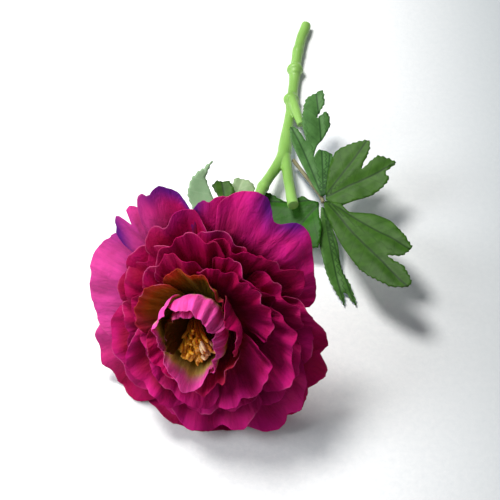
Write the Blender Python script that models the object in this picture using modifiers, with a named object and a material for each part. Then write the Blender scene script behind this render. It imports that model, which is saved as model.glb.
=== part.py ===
"""A Persian buttercup (Ranunculus asiaticus) bloom on a forked green stem, lying on a table.

The bloom lies on the rims of its lowest petals and on its stem. Petals are thin shells that stand in
rings round the bloom's axis, from the wide, open outer ring to the closed bud round the stamens.
"""

import math

import bmesh
import bpy
from mathutils import Matrix, Vector, geometry

MM = 0.001
COLLECTION = "persian_buttercup"
CUTTERS = "persian_buttercup_cutters"

# Driving dimensions, in millimetres and degrees. X is right, +Y runs from the bloom to the cut end.
BLOOM_CENTRE = Vector((0.0, 0.0, 37.5))  # the middle of the outer petals' rim, above the table
BLOOM_RISE = 32.4  # how far the bloom's axis points above the table
BLOOM_TURN = -15.1  # how far it turns from -Y towards -X
PETAL_THICKNESS = 0.45
LEAF_THICKNESS = 0.5
FLOOR_GAP = 2.0  # petals start to flatten this far above the table

STEM_ROUTE = (  # x, y, z and radius, from the cut end to the bloom
    (43.8, 195.0, 2.8, 2.5),
    (42.6, 190.0, 2.9, 2.7),
    (41.2, 186.0, 2.9, 2.7),
    (39.6, 178.5, 2.9, 2.7),
    (39.0, 175.5, 3.1, 2.95),
    (38.5, 172.5, 2.9, 2.7),
    (37.6, 165.6, 2.9, 2.7),
    (37.3, 162.6, 3.6, 3.5),
    (37.0, 160.2, 3.6, 3.4),
    (36.8, 157.4, 2.9, 2.7),
    (36.0, 149.0, 2.9, 2.6),
    (35.4, 144.4, 3.2, 2.7),
    (35.1, 141.8, 3.5, 3.3),
    (34.9, 139.0, 3.5, 3.2),
    (34.4, 134.4, 3.6, 2.5),
    (33.0, 125.0, 4.4, 2.5),
    (31.6, 114.0, 5.4, 3.0),
    (30.6, 105.0, 6.4, 3.3),
    (28.0, 98.0, 7.6, 2.7),
    (24.4, 90.0, 9.2, 2.4),
    (21.4, 83.5, 10.8, 2.5),
    (20.4, 80.6, 11.6, 2.8),
    (19.4, 77.6, 12.2, 2.4),
    (15.0, 61.0, 15.4, 2.1),
    (10.6, 42.0, 19.4, 2.1),
    (7.0, 26.0, 24.2, 2.2),
)
SIDE_ROUTE = (
    (31.0, 106.0, 6.4, 2.3),
    (31.4, 97.0, 8.2, 2.5),
    (31.9, 87.0, 10.6, 2.4),
    (32.7, 77.0, 13.0, 2.4),
    (33.6, 67.6, 15.2, 2.5),
)
SHEATH_ROUTE = (  # the stub of a cut leaf stalk beside the stem
    (34.6, 144.0, 5.0, 2.0),
    (35.8, 136.0, 6.4, 2.3),
    (37.4, 127.0, 8.0, 2.1),
    (38.6, 120.0, 9.4, 1.6),
)
RIGHT_PETIOLE = (
    (34.9, 101.6, 5.2, 1.0),
    (37.6, 95.0, 7.2, 0.9),
    (41.6, 86.0, 9.6, 0.9),
    (45.6, 77.0, 11.4, 0.9),
    (46.8, 73.6, 11.9, 0.9),
    (47.0, 71.6, 12.1, 0.8),
)
LEFT_PETIOLE = (
    (17.4, 79.6, 8.4, 0.9),
    (13.0, 76.0, 8.0, 0.9),
    (7.0, 70.0, 8.6, 0.9),
    (2.6, 66.4, 10.6, 0.8),
)


def petal_ring(base, base_rise, edge, petals, **more):
    """A ring of petals, in millimetres and degrees.

    base is where its petals start: distance from the bloom's axis and height along it. base_rise is
    how steeply they leave it. edge lists where they end, going round: angle, distance, height and
    how steeply they end. Each of petals is its middle's angle, half its width, its length as a share
    of the way to the edge, and where and how deep it is notched.
    """
    ring = {"base": base, "base_rise": base_rise, "edge": edge, "petals": petals}
    ring.update({"shear": 1.1, "ruffle": 1.0, "waves": (7, 13), "lip": 1.6, "columns": 6, "rows": 5})
    ring.update(more)
    return ring


RINGS = {
    "outer": petal_ring(
        (5.6, -6.4),
        28,
        (
            (0, 46, 0, -5),
            (30, 44, -3, -20),
            (51, 50, -3, -25),
            (85, 53, -3, -25),
            (105, 46, -3, -16),
            (125, 51, 0, -8),
            (145, 50, 0, -8),
            (190, 50, -1, -10),
            (228, 56, -1, -5),
            (270, 52, 7, 15),
            (300, 55, 1, 0),
            (330, 51, 0, -5),
        ),
        (
            (54, 40, 1.0, 0.27, 0.12),
            (98.5, 11.5, 0.93, 0.0, 0.02),
            (122.5, 12.5, 1.02, 0.2, 0.03),
            (141, 11, 1.0, 0.0, 0.10),
            (176, 32, 1.0, 0.0, 0.0),
            (222, 27, 1.0, 0.1, 0.04),
            (270, 31, 1.0, -0.2, 0.03),
            (312, 25, 1.0, 0.1, 0.05),
            (349, 23, 1.0, 0.0, 0.05),
        ),
        shear=1.4,
        ruffle=1.6,
        lip=0.0,
        waves=(5, 9),
        columns=8,
    ),
    "second": petal_ring(
        (5.4, -4.5),
        36,
        (
            (0, 43, 6, 24),
            (33, 40, 5, 14),
            (50, 36.5, 6, 22),
            (61, 34.5, 7, 28),
            (75, 33.5, 7.5, 32),
            (95, 36, 8, 30),
            (118, 38.5, 7, 24),
            (150, 40, 6, 10),
            (185, 38.5, 6, 10),
            (225, 45, 7, 18),
            (270, 47, 11.5, 34),
            (292, 48, 10.5, 36),
            (318, 48.5, 8, 32),
            (335, 46, 7, 28),
        ),
        (
            (46, 23, 1.00, 0, 0.05),
            (84, 25, 0.94, -0.3, 0.04),
            (120, 22, 1.03, 0.1, 0.05),
            (163, 29, 0.95, 0, 0.04),
            (215, 32, 1.00, 0.2, 0.05),
            (268, 31, 0.95, -0.1, 0.04),
            (318, 28, 1.04, 0, 0.05),
            (3, 25, 0.94, 0, 0.05),
        ),
        shear=1.2,
        ruffle=2.0,
        waves=(4, 9),
        columns=7,
    ),
    "third": petal_ring(
        (5.1, -3.2),
        44,
        (
            (0, 38, 11.5, 44),
            (35, 32.5, 10, 34),
            (55, 31, 11, 42),
            (75, 31, 12, 48),
            (95, 33.5, 12, 44),
            (120, 35, 11, 30),
            (150, 34, 10, 18),
            (185, 33, 10, 18),
            (225, 39, 12, 30),
            (270, 42, 15.5, 42),
            (310, 43.5, 13.5, 46),
            (335, 42, 12, 46),
        ),
        (
            (30, 26, 1.00, 0.1, 0.05),
            (75, 27, 1.00, 0, 0.04),
            (124, 31, 0.93, -0.2, 0.05),
            (175, 31, 1.00, 0.1, 0.05),
            (230, 32, 0.93, 0, 0.04),
            (283, 31, 1.03, 0.1, 0.05),
            (334, 31, 0.95, 0, 0.05),
        ),
        waves=(5, 8),
        ruffle=2.0,
        columns=7,
    ),
    "fourth": petal_ring(
        (4.8, -1.6),
        50,
        (
            (0, 33, 16, 60),
            (35, 28.5, 14.5, 48),
            (55, 27, 15, 54),
            (75, 28.5, 15.5, 58),
            (110, 30.5, 15, 48),
            (150, 28.5, 13.5, 34),
            (185, 27.5, 13, 34),
            (225, 33.5, 16, 42),
            (270, 37, 19, 52),
            (310, 38, 18, 58),
            (335, 37, 17, 62),
        ),
        (
            (58, 33, 0.98, 0, 0.05),
            (114, 33, 1.04, 0.2, 0.05),
            (172, 34, 0.90, 0, 0.05),
            (234, 34, 1.03, 0.1, 0.05),
            (292, 33, 0.94, -0.1, 0.05),
            (354, 34, 1.03, 0, 0.05),
        ),
        waves=(4, 7),
        ruffle=1.9,
        columns=7,
    ),
    "fifth": petal_ring(
        (4.5, 0.0),
        54,
        (
            (0, 27, 20, 64),
            (20, 24.5, 18.5, 56),
            (45, 23, 18, 50),
            (68, 23.5, 17.5, 46),
            (90, 26, 17, 40),
            (120, 28, 17.5, 36),
            (150, 26.5, 16.5, 40),
            (180, 25, 16, 44),
            (205, 25, 17, 48),
            (240, 27.5, 19.5, 52),
            (275, 31, 22, 54),
            (300, 32, 21.5, 62),
            (335, 31, 20.5, 66),
        ),
        (
            (50, 52, 1.0, 0.5, 0.03),
            (132, 36, 1.0, 0.0, 0.04),
            (196, 36, 1.0, 0.1, 0.05),
            (256, 36, 1.0, 0.0, 0.05),
            (318, 37, 1.0, -0.2, 0.05),
        ),
        ruffle=1.5,
        waves=(3, 7),
        columns=7,
    ),
    "sixth": petal_ring(
        (4.2, 1.6),
        56,
        (
            (0, 15, 28, 122),
            (40, 14.5, 29, 122),
            (70, 18, 27, 96),
            (92, 22.5, 22.5, 62),
            (120, 24, 20.5, 50),
            (150, 24.5, 19.5, 46),
            (180, 24.5, 19, 50),
            (205, 22.5, 19.5, 56),
            (240, 21.5, 22, 64),
            (273, 24.5, 22.5, 58),
            (307, 19.5, 26, 92),
            (335, 15.5, 27.5, 116),
        ),
        (
            (22, 42, 1.0, 0.1, 0.04),
            (98, 42, 1.0, 0.0, 0.04),
            (168, 37, 1.0, 0.0, 0.03),
            (232, 37, 1.0, 0.1, 0.04),
            (300, 43, 1.0, 0.0, 0.05),
        ),
        shear=-0.9,
        ruffle=0.9,
        waves=(4, 7),
        lip=0.8,
    ),
    "bud": petal_ring(
        (3.9, 3.2),
        54,
        (
            (0, 7.5, 28, 140),
            (41, 7.5, 31, 140),
            (82, 11.5, 32, 138),
            (105, 13.5, 32, 134),
            (140, 13.5, 31, 124),
            (170, 13.5, 30.5, 108),
            (200, 13.5, 29.5, 98),
            (235, 16, 27.5, 80),
            (273, 22, 25, 46),
            (303, 14, 27, 88),
            (335, 9, 28, 124),
        ),
        (
            (85, 53, 1.0, 0.2, 0.03),
            (176, 48, 1.0, 0.0, 0.04),
            (265, 44, 1.0, 0.0, -0.05),
            (345, 50, 1.0, 0.0, 0.04),
        ),
        shear=0.95,
        ruffle=0.5,
        waves=(4, 7),
        lip=0.0,
        columns=8,
    ),
    "heart": petal_ring(
        (3.6, 4.8),
        52,
        (
            (60, 7.5, 28.5, 122),
            (120, 9.5, 29, 126),
            (190, 11, 27.5, 104),
            (240, 12.5, 27, 98),
            (280, 12, 26, 98),
        ),
        (
            (125, 42, 1.0, 0.0, 0.05),
            (202, 32, 1.0, 0.0, 0.05),
        ),
        shear=0.4,
        ruffle=0.3,
        waves=(3, 5),
        lip=0.0,
    ),
}

# Leaflets, in millimetres: how high they are at the leaf's centre, how they slope to the right and
# away, and their outlines as seen from above, measured from that centre.
RIGHT_LEAF_CENTRE = (47.0, 72.7)
LEFT_LEAF_CENTRE = (4.0, 66.0)
LEAFLETS = {
    "leaflet_right_a": {
        "level": 13.4,
        "slope": (0.0, 0.2),
        "outline": (
            (-1.0, 1.5), (-4, 6), (-7, 12), (-12, 23), (-14, 29), (-14, 35.5), (-11, 34.5), (-7, 28),
            (-8.5, 36), (-8, 44), (-6, 51), (1, 55), (2, 48), (-1.6, 41), (3, 44), (4.5, 38),
            (2, 32), (-2, 26), (-3.6, 20), (-1, 24.5), (5, 22.5), (4, 16), (2.4, 8), (1.2, 2),
        ),
    },
    "leaflet_right_b": {
        "level": 14.2,
        "slope": (0.28, 0.3),
        "outline": (
            (1.2, 0.8), (2.6, 12), (6, 20), (12, 22.5), (20, 22.5), (21, 18.5), (17, 10), (24, 14.5),
            (32, 10.5), (27, 7), (28.5, 3), (21, -2.5), (9, -5.2), (6.4, -5.4), (3, -3), (1.4, -1.2),
        ),
    },
    "leaflet_right_c": {
        "level": 14.2,
        "slope": (0.25, -0.05),
        "outline": (
            (1.2, -2), (3.4, -2.9), (7.0, -4.8), (11, -10.5), (21, -14), (28, -20), (35, -33.5),
            (31, -38), (25, -37.5), (31, -44), (33, -53), (25, -52.5), (14, -43.5), (8, -31),
            (3.2, -18), (0.4, -8), (0.2, -3.6),
        ),
    },
    "leaflet_right_d": {
        "level": 12.2,
        "slope": (0.0, 0.23),
        "outline": (
            (-0.8, -3.2), (-1.4, -9), (-2.4, -18), (1, -35), (8, -48.5), (8, -42), (13, -48),
            (11.4, -40), (7.4, -31), (6, -20), (2.6, -9), (0.8, -3.6),
        ),
    },
    "leaflet_right_e": {
        "level": 12.2,
        "slope": (0.26, 0.1),
        "outline": (
            (-1.8, -0.8), (-6, 1.5), (-9, 4), (-15, 2.5), (-20, 5), (-26, 9), (-31, 4), (-28, -6),
            (-20, -16), (-11, -22), (-3, -23.5), (-1, -14), (-1.8, -8), (-1.9, -4),
        ),
    },
    "leaflet_left_a": {
        "level": 12.4,
        "slope": (-0.05, 0.5),
        "outline": (
            (-2, 0), (-5, 4), (-9, 14), (-6, 20), (-10.5, 17), (-15, 13), (-17, 7), (-14, 0),
            (-8, -4), (-3, -2.4),
        ),
    },
    "leaflet_left_b": {
        "level": 12.6,
        "slope": (0.0, 0.12),
        "outline": (
            (0, 2), (2, 6), (3.6, 11), (1.4, 15.4), (-4, 16), (-6.4, 13), (-3.6, 8), (-1.2, 3),
        ),
    },
    "leaflet_left_c": {
        "level": 10.8,
        "slope": (-0.05, 0.2),
        "outline": (
            (1.4, -1), (6, 2), (10, 6), (12.4, 10), (12.6, 14), (9.4, 17), (4, 17.8), (1, 8), (0.4, 1),
        ),
    },
}


def smooth_step(low, high, x):
    """0 below low, 1 above high, and a smooth rise between them."""
    t = min(1.0, max(0.0, (x - low) / (high - low)))
    return t * t * (3 - 2 * t)


def direction(degrees):
    """The unit vector that rises by this angle above the first axis."""
    return Vector((math.cos(math.radians(degrees)), math.sin(math.radians(degrees))))


def bloom_matrix():
    """The bloom's own frame in metres: Z is its axis and Y is its upper side."""
    rise = math.radians(BLOOM_RISE)
    turn = math.radians(BLOOM_TURN)
    axis = Vector(
        (math.sin(turn) * math.cos(rise), -math.cos(turn) * math.cos(rise), math.sin(rise))
    )
    up = (Vector((0, 0, 1)) - axis * axis.z).normalized()
    right = up.cross(axis)
    turned = Matrix((right, up, axis)).transposed().to_4x4()
    return Matrix.Translation(BLOOM_CENTRE * MM) @ turned


def edge_at(edge, degrees):
    """Distance, height and steepness of a ring's edge at an angle round the bloom."""
    degrees = degrees % 360
    before = [row for row in edge if row[0] <= degrees]
    after = [row for row in edge if row[0] > degrees]
    low = before[-1] if before else (edge[-1][0] - 360, *edge[-1][1:])
    high = after[0] if after else (edge[0][0] + 360, *edge[0][1:])
    t = smooth_step(low[0], high[0], degrees)
    return [a + (b - a) * t for a, b in zip(low[1:], high[1:])]


def ring_point(ring, angle, along, over):
    """A point of a ring's surface, in millimetres: angle round the axis, along from base to edge,
    and over, which is how far it stands off the surface towards the axis."""
    distance, height, steepness = edge_at(ring["edge"], math.degrees(angle))
    base = Vector(ring["base"])
    tip = Vector((distance, height))
    reach = 0.4 * (tip - base).length
    first = base + reach * direction(ring["base_rise"])
    last = tip - reach * direction(steepness)
    t, s = along, 1 - along
    place = base * s**3 + first * (3 * s * s * t) + last * (3 * s * t * t) + tip * t**3
    slope = (first - base) * (s * s) + (last - first) * (2 * s * t) + (tip - last) * (t * t)
    slope.normalize()
    place += Vector((-slope.y, slope.x)) * over
    return Vector((place.x * math.cos(angle), place.x * math.sin(angle), place.y))


def petal_point(ring, petal, u, v):
    """u runs from -1 to 1 across the petal and v from 0 at its base to 1 at its edge."""
    middle, half, length, notch_at, notch = petal
    short = 0.16 * abs(u) ** 4 + notch * math.exp(-(((u - notch_at) / 0.14) ** 2)) * v
    along = v * length * (1 - short)
    spread = math.radians(half) * (0.6 + 0.4 * smooth_step(0.05, 0.55, along))
    angle = math.radians(middle) + u * spread
    low, high = ring["waves"]
    wave = 0.6 * math.sin(low * angle + low) + 0.4 * math.sin(high * angle + 2 * high)
    over = ring["shear"] * u * smooth_step(0.0, 0.7, along)
    over += ring["ruffle"] * wave * smooth_step(0.4, 1.0, along)
    over -= ring["lip"] * max(0.0, along - 0.7) ** 2 / 0.09
    return ring_point(ring, angle, along, over)


def rest_on_table(point, frame, back):
    """Flattens a bloom point, in millimetres, that would be at or below the table."""
    world = frame @ (point * MM)
    low = FLOOR_GAP * MM
    if world.z < low:
        world.z = low * math.exp((world.z - low) / low)
    world.z += PETAL_THICKNESS * MM / 2
    return back @ world


def clear_scene():
    for thing in list(bpy.data.objects):
        bpy.data.objects.remove(thing)
    for name in (COLLECTION, CUTTERS):
        bpy.context.scene.collection.children.link(bpy.data.collections.new(name))


def make_material(name, colour, roughness):
    made = bpy.data.materials.new(name)
    made.use_nodes = True
    surface = made.node_tree.nodes["Principled BSDF"]
    surface.inputs["Base Color"].default_value = (*colour, 1.0)
    surface.inputs["Roughness"].default_value = roughness
    surface.inputs["Metallic"].default_value = 0.0
    return made


def place(name, work, material, parent, collection=COLLECTION):
    """Makes a bmesh a named object of one material."""
    mesh = bpy.data.meshes.new(name)
    work.to_mesh(mesh)
    work.free()
    mesh.shade_smooth()
    mesh.materials.append(material)
    made = bpy.data.objects.new(name, mesh)
    bpy.data.collections[collection].objects.link(made)
    made.parent = parent
    return made


def thicken(made, thickness):
    skin = made.modifiers.new("thickness", "SOLIDIFY")
    skin.thickness = thickness * MM
    skin.offset = 0.0
    skin.use_even_offset = False


def make_petals(material, head):
    frame = bloom_matrix()
    back = frame.inverted()
    for name, ring in RINGS.items():
        for i, petal in enumerate(ring["petals"]):
            work = bmesh.new()
            bmesh.ops.create_grid(work, x_segments=ring["columns"], y_segments=ring["rows"], size=1.0)
            for vertex in work.verts:
                point = petal_point(ring, petal, vertex.co.x, (vertex.co.y + 1) / 2)
                vertex.co = rest_on_table(point, frame, back)
            made = place(f"petal_{name}_{i + 1}", work, material, head)
            thicken(made, PETAL_THICKNESS)


def turned(rings, sides):
    """A closed solid through rings of points: each is its radius by angle, its height and its
    middle, in millimetres."""
    work = bmesh.new()
    loops = []
    for radius_at, height, middle in rings:
        loop = []
        for i in range(sides):
            angle = 2 * math.pi * i / sides
            out = radius_at(angle)
            spot = Vector(
                (middle[0] + out * math.cos(angle), middle[1] + out * math.sin(angle), height)
            )
            loop.append(work.verts.new(spot * MM))
        loops.append(loop)
    join_loops(work, loops)
    return work


def join_loops(work, loops):
    """Skins loops of equally many vertices and closes both ends."""
    count = len(loops[0])
    for low, high in zip(loops, loops[1:]):
        for i in range(count):
            j = (i + 1) % count
            work.faces.new((low[i], low[j], high[j], high[i]))
    work.faces.new(list(reversed(loops[0])))
    work.faces.new(loops[-1])
    bmesh.ops.recalc_face_normals(work, faces=work.faces[:])


def route_points(route, steps):
    """A smooth line through a route's stations, each still x, y, z and radius."""
    rows = [Vector(row) for row in route]
    padded = [rows[0] * 2 - rows[1]] + rows + [rows[-1] * 2 - rows[-2]]
    line = []
    for i in range(len(rows) - 1):
        a, b, c, d = padded[i : i + 4]
        for k in range(steps):
            t = k / steps
            bend = (2 * a - 5 * b + 4 * c - d) * (t * t) + (3 * b - a - 3 * c + d) * (t * t * t)
            line.append(b + ((c - a) * t + bend) / 2)
    line.append(rows[-1])
    return line


def tube(route, sides, steps):
    """A round bar along a route, with flat ends."""
    line = route_points(route, steps)
    work = bmesh.new()
    loops = []
    across = Vector((1, 0, 0))
    for i, row in enumerate(line):
        spot = row.xyz
        ahead = (line[min(i + 1, len(line) - 1)].xyz - line[max(i - 1, 0)].xyz).normalized()
        across = (across - ahead * across.dot(ahead)).normalized()
        other = ahead.cross(across)
        loop = []
        for k in range(sides):
            turn = 2 * math.pi * k / sides
            off = (across * math.cos(turn) + other * math.sin(turn)) * row.w
            loop.append(work.verts.new((spot + off) * MM))
        loops.append(loop)
    join_loops(work, loops)
    return work


def combine(target, other, operation):
    """Adds another solid to target, or takes it away."""
    other.hide_render = True
    other.display_type = "WIRE"
    made = target.modifiers.new(f"{operation.lower()}_{other.name}", "BOOLEAN")
    made.operation = operation
    made.solver = "EXACT"
    made.object = other


def make_stem(material, root):
    """One moulded piece: the stem, its fork, the bloom's stalk and the cut side stalk."""
    top = bloom_matrix() @ (Vector((0, 0, -11.4)) * MM) / MM
    stem = place("stem", tube((*STEM_ROUTE, (*top, 2.4)), 10, 3), material, root)
    side = place("side_stalk", tube(SIDE_ROUTE, 10, 3), material, root, CUTTERS)
    sheath = place("sheath", tube(SHEATH_ROUTE, 8, 3), material, root, CUTTERS)
    combine(stem, side, "UNION")
    combine(stem, sheath, "UNION")
    end = Vector(SIDE_ROUTE[-1][:3])
    inward = (Vector(SIDE_ROUTE[-2][:3]) - end).normalized()
    hollow = ((*(end - inward), 1.5), (*(end + inward * 3), 1.3))
    recess = place("stalk_recess", tube(hollow, 8, 1), material, root, CUTTERS)
    combine(stem, recess, "DIFFERENCE")


def make_receptacle(material, head):
    """The core that carries the petals."""
    steps = ((3.0, -9.4), (4.6, -8.4), (4.7, -6.4), (4.2, -2.0), (3.6, 1.6), (2.9, 4.4), (1.6, 6.0))
    rings = [(lambda angle, r=r: r, h, (0.0, 0.0)) for r, h in steps]
    place("receptacle", turned(rings, 14), material, head)


def make_stamens(material, head):
    """A fluted tuft that leans to the right and down."""

    def fluted(radius):
        return lambda angle: radius * (1 + 0.10 * math.cos(8 * angle))

    steps = (  # radius, height and middle
        (1.3, 6.3, (-1.5, 0.1)),
        (1.9, 8.2, (-3.6, 0.4)),
        (2.3, 11.0, (-3.5, -0.9)),
        (3.5, 15.0, (-2.5, -3.3)),
        (5.4, 19.0, (-1.5, -5.8)),
        (5.6, 21.8, (-0.6, -7.0)),
        (3.0, 23.4, (-0.2, -7.6)),
    )
    rings = [(fluted(r), h, middle) for r, h, middle in steps]
    place("stamen_cluster", turned(rings, 32), material, head)


def make_calyx(material, head):
    """The disc of five sepals behind the petals."""

    def sepals(radius):
        if radius <= 6:
            return lambda angle: radius
        return lambda angle: 6.0 + (radius - 6.0) * abs(math.cos(2.5 * angle)) ** 0.8

    steps = ((3.0, -9.8), (6.0, -9.6), (11.0, -8.6), (15.5, -6.8), (15.6, -7.3), (11.0, -9.4))
    steps += ((6.0, -10.6), (3.0, -11.0))
    rings = [(sepals(r), h, (0.0, 0.0)) for r, h in steps]
    place("calyx", turned(rings, 40), material, head)


def leaf_height(leaf, x, y):
    """A leaflet's height over the table, in millimetres: a sloping plane with a slow wave."""
    wave = 0.9 * math.sin(0.17 * x + 0.4) * math.cos(0.11 * y) * smooth_step(4, 16, math.hypot(x, y))
    return leaf["level"] + leaf["slope"][0] * x + leaf["slope"][1] * y + wave


def holds(outline, spot):
    """Whether a spot is inside an outline."""
    inside = False
    for (ax, ay), (bx, by) in zip(outline, outline[1:] + outline[:1]):
        if (ay > spot[1]) != (by > spot[1]):
            if spot[0] < ax + (bx - ax) * (spot[1] - ay) / (by - ay):
                inside = not inside
    return inside


def leaf_net(outline, spacing):
    """Points inside an outline on a triangular net, clear of its edge."""
    xs = [x for x, y in outline]
    ys = [y for x, y in outline]
    edges = [(Vector(a), Vector(b)) for a, b in zip(outline, outline[1:] + outline[:1])]
    found = []
    rows = int((max(ys) - min(ys)) / spacing) + 1
    columns = int((max(xs) - min(xs)) / spacing) + 2
    for j in range(rows):
        for i in range(columns):
            x = min(xs) + (i + 0.5 * (j % 2)) * spacing
            spot = Vector((x, min(ys) + (j + 0.5) * spacing * 0.9))
            if not holds(outline, spot):
                continue
            gaps = []
            for a, b in edges:
                near, share = geometry.intersect_point_line(spot.to_3d(), a.to_3d(), b.to_3d())
                near = a.to_3d().lerp(b.to_3d(), min(1.0, max(0.0, share)))
                gaps.append((near - spot.to_3d()).length)
            if min(gaps) > 0.4 * spacing:
                found.append(spot)
    return found


def make_leaflets(material, root):
    for name, leaf in LEAFLETS.items():
        centre = RIGHT_LEAF_CENTRE if "right" in name else LEFT_LEAF_CENTRE
        outline = [tuple(spot) for spot in leaf["outline"]]
        flat = [Vector(spot) for spot in outline] + leaf_net(outline, 6.0)
        loop = [list(range(len(outline)))]
        spots, _, faces, _, _, _ = geometry.delaunay_2d_cdt(flat, [], loop, 1, 1e-4)
        work = bmesh.new()
        for spot in spots:
            height = leaf_height(leaf, spot.x, spot.y)
            work.verts.new(Vector((centre[0] + spot.x, centre[1] + spot.y, height)) * MM)
        work.verts.ensure_lookup_table()
        for face in faces:
            work.faces.new([work.verts[k] for k in face])
        bmesh.ops.recalc_face_normals(work, faces=work.faces[:])
        thicken(place(name, work, material, root), LEAF_THICKNESS)


def stand_on_origin(root):
    """Moves the whole flower so that its box is centred over the origin and stands on Z = 0."""
    bpy.context.view_layer.update()
    seen = bpy.context.evaluated_depsgraph_get()
    low = Vector((1e9, 1e9, 1e9))
    high = -low
    for made in bpy.data.collections[COLLECTION].objects:
        if made.type != "MESH":
            continue
        shown = made.evaluated_get(seen)
        for vertex in shown.data.vertices:
            spot = shown.matrix_world @ vertex.co
            low = Vector(map(min, low, spot))
            high = Vector(map(max, high, spot))
    root.location = (-(low.x + high.x) / 2, -(low.y + high.y) / 2, -low.z)
    bpy.context.view_layer.update()


def main():
    clear_scene()
    magenta = make_material("petal_silk", (0.42, 0.01, 0.13), 0.75)
    leafy = make_material("leaf_cloth", (0.06, 0.16, 0.04), 0.75)
    green = make_material("stem_plastic", (0.36, 0.62, 0.19), 0.45)
    brown = make_material("petiole_wire", (0.14, 0.14, 0.06), 0.6)
    gold = make_material("stamen_plastic", (0.55, 0.25, 0.03), 0.5)
    root = bpy.data.objects.new("flower", None)
    head = bpy.data.objects.new("bloom", None)
    for empty in (root, head):
        bpy.data.collections[COLLECTION].objects.link(empty)
    head.parent = root
    head.matrix_local = bloom_matrix()
    make_petals(magenta, head)
    make_receptacle(green, head)
    make_stamens(gold, head)
    make_calyx(green, head)
    make_stem(green, root)
    place("petiole_right", tube(RIGHT_PETIOLE, 6, 2), brown, root)
    place("petiole_left", tube(LEFT_PETIOLE, 6, 2), brown, root)
    make_leaflets(leafy, root)
    stand_on_origin(root)


main()
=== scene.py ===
"""The looks of the Persian buttercup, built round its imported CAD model.

Every cloth petal and leaflet, the stem and the stamens are rebuilt finely where their CAD solids
are, from the same rings, routes and outlines, and stand in for them.
"""

import math
import random

import bpy
from mathutils import Matrix, Vector, geometry, noise


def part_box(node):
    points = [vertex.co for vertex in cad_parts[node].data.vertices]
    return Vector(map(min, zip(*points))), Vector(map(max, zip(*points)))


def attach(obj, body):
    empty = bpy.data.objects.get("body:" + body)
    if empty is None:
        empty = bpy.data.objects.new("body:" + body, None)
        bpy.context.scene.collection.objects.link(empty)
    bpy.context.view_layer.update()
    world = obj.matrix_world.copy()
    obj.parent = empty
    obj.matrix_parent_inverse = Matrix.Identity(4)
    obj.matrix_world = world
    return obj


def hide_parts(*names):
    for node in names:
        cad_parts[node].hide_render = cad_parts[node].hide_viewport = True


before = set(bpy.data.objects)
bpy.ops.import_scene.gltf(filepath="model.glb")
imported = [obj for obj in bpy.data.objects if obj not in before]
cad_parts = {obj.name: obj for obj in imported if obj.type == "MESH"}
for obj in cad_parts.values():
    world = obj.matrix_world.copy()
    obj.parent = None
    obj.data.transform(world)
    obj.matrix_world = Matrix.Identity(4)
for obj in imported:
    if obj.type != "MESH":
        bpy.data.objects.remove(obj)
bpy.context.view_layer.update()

# The flower's sizes are in millimetres and degrees, and MM turns them into the scene's metres.
MM = 0.001
FLOOR_GAP = 2.0  # petals start to flatten this far above the table
PETAL_THICKNESS = 0.2
CAD_PETAL_THICKNESS = 0.45
LEAF_THICKNESS = 0.3
PETAL_ROWS = 34  # of faces, from a petal's foot to its edge
STEM_VOXEL = 0.38

# Dyes, as linear red, green and blue, and colours laid as painted light and painted shade, as marked.
MAGENTA = (0.43, 0.0012, 0.085)
CRIMSON = (0.41, 0.0008, 0.055)
# Pink dye on the heart, and elsewhere painted highlight and painted light.
BRIGHT_DYE_AND_HIGHLIGHT = (0.62, 0.012, 0.22)
# Painted light.
PAINTED_LIGHT_PINK = (0.74, 0.070, 0.38)
# Darker magenta, mostly laid as painted shade.
DEEP = (0.25, 0.001, 0.030)
# Painted shade.
PAINTED_SHADE_DARK = (0.10, 0.0003, 0.004)
RED = (0.32, 0.008, 0.020)
ORANGE = (0.42, 0.075, 0.004)
OLIVE = (0.15, 0.085, 0.002)
YELLOW = (0.62, 0.42, 0.10)
SALMON = (0.56, 0.045, 0.07)
SCARLET = (0.46, 0.022, 0.030)
UMBER = (0.17, 0.065, 0.005)
ROSE = (0.82, 0.080, 0.40)
BLUSH = (0.78, 0.20, 0.36)
VIOLET = (0.13, 0.008, 0.20)
FRAYED = (0.78, 0.16, 0.38)

# Other colours. A pair is mottled from its first to its second, and a leaf's third is its veins.
STEM_GREENS = (0.15, 0.31, 0.050), (0.22, 0.42, 0.09)
BOSS_GREENS = (0.03, 0.035, 0.006), (0.07, 0.08, 0.015)
WIRE_BROWNS = (0.12, 0.10, 0.04), (0.24, 0.22, 0.12)
LEAF_TOP = (0.028, 0.085, 0.008), (0.052, 0.140, 0.015), (0.014, 0.046, 0.005)
LEAF_UNDER = (0.24, 0.36, 0.20), (0.33, 0.45, 0.27), (0.38, 0.50, 0.32)
STAMEN_BROWN = (0.34, 0.09, 0.006)
STAMEN_GOLD = (0.95, 0.44, 0.02)
STAMEN_PALE = (0.92, 0.78, 0.58)
TUFT_FOOT_BROWN = (0.05, 0.035, 0.004)
PAPER_WHITES = (0.80, 0.815, 0.83), (0.88, 0.885, 0.89)
# Painted shade on the paper.
PAPER_SHADE_GREY = (0.31, 0.35, 0.37)

BLOOM_CENTRE = Vector((0.0, 0.0, 37.5))
BLOOM_RISE = 32.4
BLOOM_TURN = -15.1


def petal_ring(base, base_rise, edge, petals, tints, **more):
    """A ring of petals, in millimetres and degrees, as in the CAD model: base is distance from the
    axis and height, edge rows are angle, distance, height and steepness, and petals are middle, half
    width, length, notch place and notch depth. tints are dyes and painted shade by share of the way out."""
    ring = {"base": base, "base_rise": base_rise, "edge": edge, "petals": petals, "tints": tints}
    ring.update({"shear": 1.1, "ruffle": 1.0, "waves": (7, 13), "lip": 1.6, "curl": 0.8, "fine": 1.0})
    ring.update(more)
    return ring


# From a petal's foot: olive and red dye, then dark stops that are painted shade where the petals lie
# over one another, and magenta dye out to the edge.
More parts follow.
